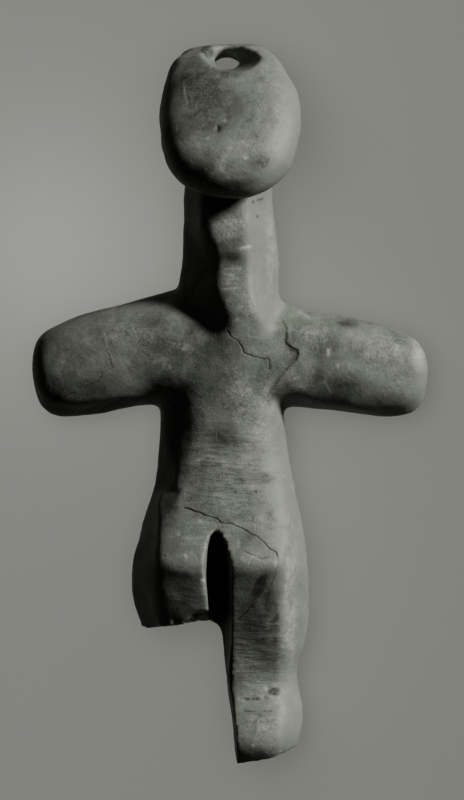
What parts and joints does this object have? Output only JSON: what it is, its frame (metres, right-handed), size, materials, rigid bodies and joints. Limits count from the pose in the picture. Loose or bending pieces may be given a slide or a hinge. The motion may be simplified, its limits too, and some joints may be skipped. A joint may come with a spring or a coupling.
{
  "type": "stone figurine",
  "caption": "Carved stone human figure with a blank oval head pierced for hanging, a long neck, outstretched arms and a broken-off leg; worn or displayed.",
  "frame": {"origin": "centre of the figure's length and width, on the plane that its flat back lies on", "axes": "+X across the arms to the viewer's right, +Y from the foot to the crown, +Z out of the figure's front"},
  "size_m": [0.0552, 0.1001, 0.0225],
  "materials": {
    "stone": "worn satin, file marks and light scratches"
  },
  "bodies": {
    "root": {"figurine": "stone"}
  },
  "joints": []
}
